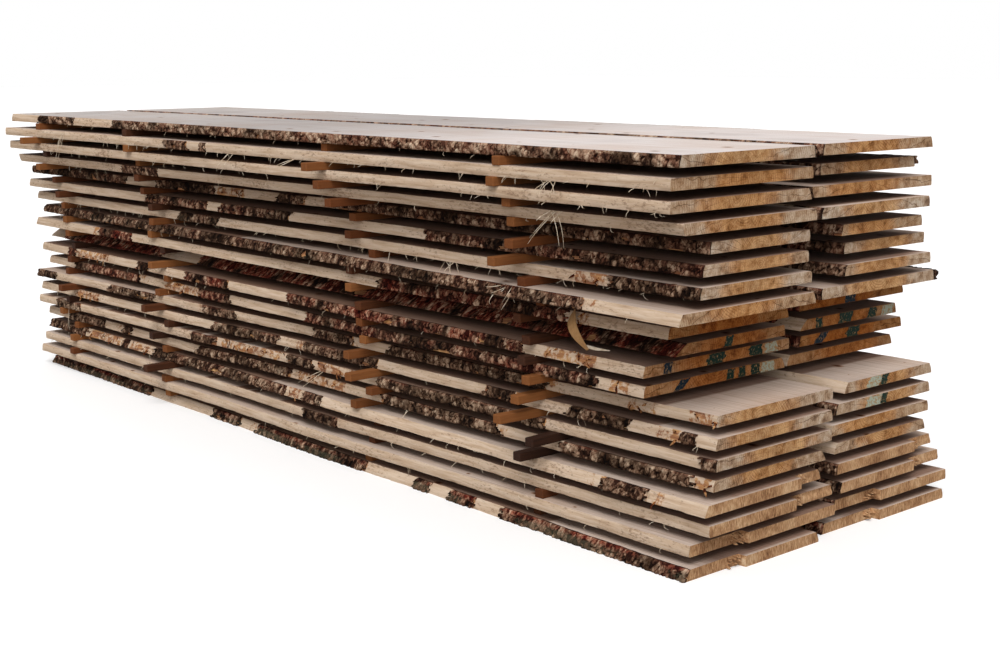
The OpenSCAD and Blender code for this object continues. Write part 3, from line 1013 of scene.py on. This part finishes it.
# %% Shreds of inner bark and splinters
for layer, stretches in NEAR_INNER_BARK.items():
    board = boards["near_board_%02d" % layer]
    low, high = board["low"], board["high"]
    for start, end in stretches:
        for number in range(int((end - start) * SHREDS_PER_METRE)):
            x = deal.uniform(start, end)
            up = deal.uniform(0.1, 1.0)
            y = edge_y(board, "left", x, up)
            root = Vector((x, y + 0.001, low[2] + up * (high[2] - low[2])))
            hang = throw((-0.03, 0.03), (-0.012, -0.003), (-0.022, 0.004))
            line = bent_line(root, root + hang, deal.uniform(-0.008, 0.008), 4)
            sweep_strip(fibre_mesh, line, deal.uniform(0.003, 0.01), 0.0016, SHRED)
# splinters left standing where the felling cuts met
for board in boards.values():
    step = board["step"]
    if step:
        for number in range(SPLINTERS_IN_A_STEP):
            inward = step["side"] * deal.uniform(0.0, 0.05)
            height = board["low"][2] + deal.uniform(0.002, 0.030)
            wall = board["high"][0] - step["depth"]
            back = Vector((wall - TORN, step["edge"] + inward, height))
            ahead = throw((0.006, 0.026), (-0.006, 0.006), (-0.002, 0.002))
            line = bent_line(back, back + ahead, 0.001, 2)
            sweep_strip(fibre_mesh, line, deal.uniform(0.003, 0.007), 0.006, SPLINTER)
fibres = make_object("torn_fibres", fibre_mesh, (torn_fibre, felled_end, inner_bark, sticker_wood))
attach(fibres, "root")
print("torn fibres", len(fibres.data.polygons), "faces")

# %% [markdown]
# ## Paint on the ends
# Some ends were marked with dabs of paint, now worn thin. A dab is a small grid
# on the end of a board. The cells outside a ragged outline are deleted, and the
# rest is extruded by the thickness of a coat.

# %% Paint on the ends
# each paint's colour and how much of it is left
PAINTS = {"green": ("#10271f", 0.55), "blue": ("#11222d", 0.55), "pale green": ("#a3ad9d", 0.47)}
# the dabs on a board's end: y of the dab, its width, how far it leans, its paint
DABS = {
    "near_board_10": [(-0.23, 0.03, 0.3, "green")],
    "near_board_11": [(-0.42, 0.03, 0.2, "blue"), (-0.22, 0.075, 0.1, "green"),
                      (-0.04, 0.055, 0.0, "green"), (0.03, 0.055, 0.0, "pale green")],
    "near_board_12": [(-0.35, 0.035, 0.7, "blue"), (-0.14, 0.03, 0.1, "green"),
                      (-0.09, 0.028, 0.0, "green"), (-0.03, 0.04, 0.0, "green"),
                      (0.03, 0.06, 0.0, "pale green")],
    "far_board_09": [(0.36, 0.05, 0.0, "blue")],
    "far_board_10": [(0.20, 0.03, 0.0, "green"), (0.33, 0.06, 0.1, "green"),
                     (0.47, 0.04, 0.2, "green"), (0.55, 0.06, 0.0, "pale green")],
    "far_board_11": [(0.26, 0.04, 0.7, "blue"), (0.42, 0.06, 0.1, "green")],
    "far_board_13": [(0.31, 0.06, 0.3, "pale green"), (0.36, 0.03, 0.3, "green")],
    "far_board_14": [(0.31, 0.07, 0.2, "pale green"), (0.36, 0.03, 0.2, "green")],
}
# in metres: the grid's height, its gap to the wood and the thickness of a coat
DAB_HEIGHT, DAB_GAP, COAT = 0.031, 0.0002, 0.0005
# the grid is wider than the dab, because its outline is worn off
GRID_MARGIN = 1.3
paint_mesh = bmesh.new()
dab_list = [(name, *dab) for name, group in DABS.items() for dab in group]
for number, (name, y, width, lean, paint) in enumerate(dab_list):
    low, high = boards[name]["low"], boards[name]["high"]
    grid = bmesh.ops.create_grid(paint_mesh, x_segments=24, y_segments=20, size=0.5)["verts"]
    cells = list(dict.fromkeys(f for v in grid for f in v.link_faces))
    worn_off = []
    for cell in cells:
        cell.material_index = list(PAINTS).index(paint)
        spot = cell.calc_center_median()
        edge = 0.5 - max(abs(spot.x), abs(spot.y) * 0.8)
        if edge < 0.1 + 0.14 * noise.noise(Vector((spot.x * 4.0, spot.y * 3.0, number * 3.7))):
            worn_off.append(cell)
    for vert in grid:
        across, up = vert.co.x, vert.co.y
        sideways = (across + lean * up) * width * GRID_MARGIN
        vert.co = (high[0] + DAB_GAP, y + sideways, (low[2] + high[2]) / 2 + up * DAB_HEIGHT)
    bmesh.ops.delete(paint_mesh, geom=worn_off, context="FACES")
coats = bmesh.ops.extrude_face_region(paint_mesh, geom=paint_mesh.faces[:], use_keep_orig=True)
outer = [g for g in coats["geom"] if isinstance(g, bmesh.types.BMVert)]
bmesh.ops.translate(paint_mesh, verts=outer, vec=(COAT, 0.0, 0.0))
bmesh.ops.recalc_face_normals(paint_mesh, faces=paint_mesh.faces[:])
coat_finishes = []
for name, (hex_value, left_on) in PAINTS.items():
    coat, tree, shader = finish("timber_marking_paint_" + name.replace(" ", "_"))
    place = add(tree, "TexCoord").outputs["Object"]
    # worn through to the wood in spots of about 8 mm
    wear = add(tree, "TexNoise",
               inputs={"Vector": place, "Scale": 130.0, "Detail": 4.0, "Roughness": 0.7})
    worn = add(tree, "ValToRGB", inputs={"Fac": wear},
               stops=[(left_on - 0.1, hex_value), (left_on, hex_value), (left_on + 0.12, "#a07c54")])
    feed(tree, shader, {"Base Color": worn, "Roughness": 0.7, "Specular IOR Level": 0.1})
    coat_finishes.append(coat)
dabs = make_object("paint_dabs", paint_mesh, coat_finishes)
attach(dabs, "root")
print("paint dabs", len(dab_list))

# %% [markdown]
# ## Floor and light
# A pale floor runs to the horizon and keeps the stack's shadow. The light is
# that of an overcast day: a very wide soft sun high behind cloud, a weaker low
# one for the open sky in front, and a sky that is bright overhead and dark along
# the horizon. So tops are bright, sides are calm and the gaps fall dark. The eye
# sees a white background and a white floor, which light nothing by themselves.

# %% Floor
def seen_directly(tree):
    """1 for what is seen by eye, in a gloss or through glass, 0 for light on its way to a surface."""
    path = add(tree, "LightPath")
    seen = add(tree, "Math", {"operation": "ADD"},
               {0: path.outputs["Is Camera Ray"], 1: path.outputs["Is Glossy Ray"]})
    return add(tree, "Math", {"operation": "ADD", "use_clamp": True},
               {0: seen, 1: path.outputs["Is Transmission Ray"]})


# half the floor's width in metres
FLOOR_REACH = 60.0
floor_mesh = bmesh.new()
bmesh.ops.create_grid(floor_mesh, x_segments=1, y_segments=1, size=FLOOR_REACH)
pale, tree, shader = finish("pale_floor")
floor = make_object("floor", floor_mesh, [pale])
shown = seen_directly(tree)
ground = add(tree, "MixRGB",
             inputs={"Fac": shown, "Color1": colour("#857b73"), "Color2": colour("#f4f3f2")})
feed(tree, shader, {"Base Color": ground, "Roughness": 0.9})
# a little glow of its own, so that the floor is white to the eye
glow = add(tree, "Math", {"operation": "MULTIPLY"}, {0: shown, 1: 0.16})
lift = add(tree, "Emission", inputs={"Color": (1.0, 1.0, 1.0, 1.0), "Strength": glow})
lifted = add(tree, "AddShader", inputs={0: shader, 1: lift})
feed(tree, tree.nodes["Material Output"], {"Surface": lifted})
print("floor", floor.name)

# %% Light
world = bpy.data.worlds.new("overcast")
scene.world = world
world.use_nodes = True
sky = world.node_tree
shown = seen_directly(sky)
direction = add(sky, "TexCoord").outputs["Generated"]
height = add(sky, "SeparateXYZ", inputs={0: direction})
dome = add(sky, "ValToRGB", inputs={"Fac": height.outputs["Z"]},
           stops=[(0.0, "#141211"), (0.3, "#5c5957"), (0.75, "#f4f4f6")])
even = add(sky, "Background", inputs={"Color": dome, "Strength": 0.75})
white = add(sky, "Background", inputs={"Color": (1.0, 1.0, 1.0, 1.0), "Strength": 1.0})
both = add(sky, "MixShader", inputs={"Fac": shown, 1: even, 2: white})
feed(sky, sky.nodes["World Output"], {"Surface": both})


def soft_sun(name, height_deg, turn_deg, spread_deg, strength):
    """A wide sun: its height over the horizon, its turn around the stack and its spread."""
    data = bpy.data.lights.new(name, "SUN")
    data.energy = strength
    data.angle = math.radians(spread_deg)
    item = bpy.data.objects.new(name, data)
    item.rotation_euler = (math.radians(90 - height_deg), 0.0, math.radians(turn_deg))
    scene.collection.objects.link(item)


soft_sun("bright_cloud", 52, 43, 35, 2.2)
soft_sun("open_sky_in_front", 8, 43, 40, 1.25)
scene.view_settings.view_transform = "Standard"
